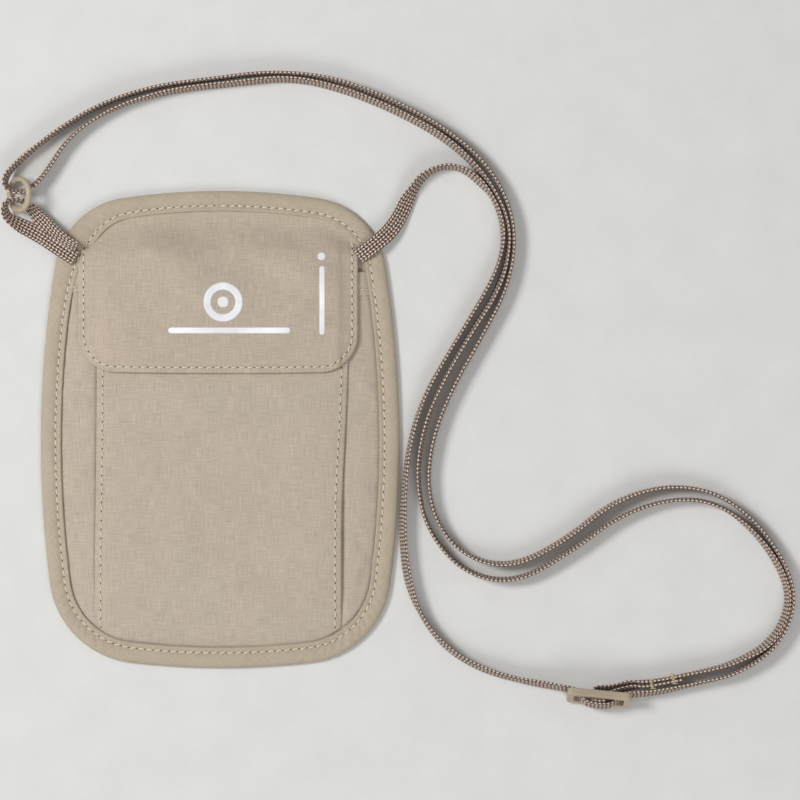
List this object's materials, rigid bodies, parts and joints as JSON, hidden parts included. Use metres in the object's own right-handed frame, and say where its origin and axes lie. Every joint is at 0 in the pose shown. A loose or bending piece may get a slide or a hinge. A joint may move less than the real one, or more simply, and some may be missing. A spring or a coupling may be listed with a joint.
{
  "type": "neck pouch wallet",
  "caption": "Flat travel pouch with a bound edge, pleated front pocket and flap, on a long woven neck strap with link ring and slider.",
  "frame": {"origin": "on the surface below the middle of the pouch, which lies on its back", "axes": "+Z out of the pouch's front, +Y towards its mouth and strap end, +X to the right seen from the front"},
  "size_m": [0.2976, 0.2416, 0.0112],
  "materials": {
    "ripstop_fabric": "matte fine weave",
    "binding_fabric": "matte fine weave",
    "woven_tape": "coarse braid with light and dark yarns",
    "thread": "twisted sewing thread",
    "hook_and_loop": "napped",
    "shield_foil": "thin foil laminate",
    "hardware_plastic": "satin moulded"
  },
  "bodies": {
    "pouch": {"back_panel": "ripstop_fabric", "rear_shield": "shield_foil", "divider_panel": "ripstop_fabric", "edge_binding": "binding_fabric", "binding_thread": "thread", "pocket_panel": "ripstop_fabric", "pocket_hem": "ripstop_fabric", "pocket_side_left": "ripstop_fabric", "pocket_side_right": "ripstop_fabric", "side_hem_left": "ripstop_fabric", "side_hem_right": "ripstop_fabric", "pleat_thread_left": "thread", "pleat_thread_right": "thread", "hem_thread": "thread", "loop_strip": "hook_and_loop", "flap_root": "ripstop_fabric", "anchor_tack_left": "thread", "anchor_tack_right": "thread", "short_loop": "woven_tape", "strap_single": "woven_tape", "strap_to_slider": "woven_tape", "strap_from_slider": "woven_tape", "strap_outer": "woven_tape", "strap_ring_turn": "woven_tape", "strap_inner": "woven_tape", "strap_to_tab": "woven_tape"},
    "flap": {"flap_panel": "ripstop_fabric", "flap_lining": "ripstop_fabric", "flap_thread": "thread", "hook_strip": "hook_and_loop"},
    "ring": {"link_ring": "hardware_plastic"},
    "slider": {"strap_slider": "hardware_plastic", "slider_weave": "woven_tape", "tab_loop": "woven_tape", "tab_outer_layer": "woven_tape", "tab_inner_layer": "woven_tape", "tab_tack_near": "thread", "tab_tack_far": "thread"}
  },
  "joints": [
    {"name": "flap_hinge", "type": "hinge", "parent": "pouch", "child": "flap", "pos_m": [0, 0.0705, 0.0087], "axis": [-1, 0, 0], "range_deg": [0, 155]},
    {"name": "ring_tilt", "type": "hinge", "parent": "pouch", "child": "ring", "pos_m": [-0.07944, 0.0885, 0.00115], "axis": [0, -1, 0], "range_deg": [0, 20]},
    {"name": "slider_slide", "type": "slide", "parent": "pouch", "child": "slider", "axis": [0.9954, -0.0958, 0], "range_m": [-0.008, 0.008], "deforming": ["strap_to_slider", "strap_from_slider", "strap_to_tab"]}
  ]
}
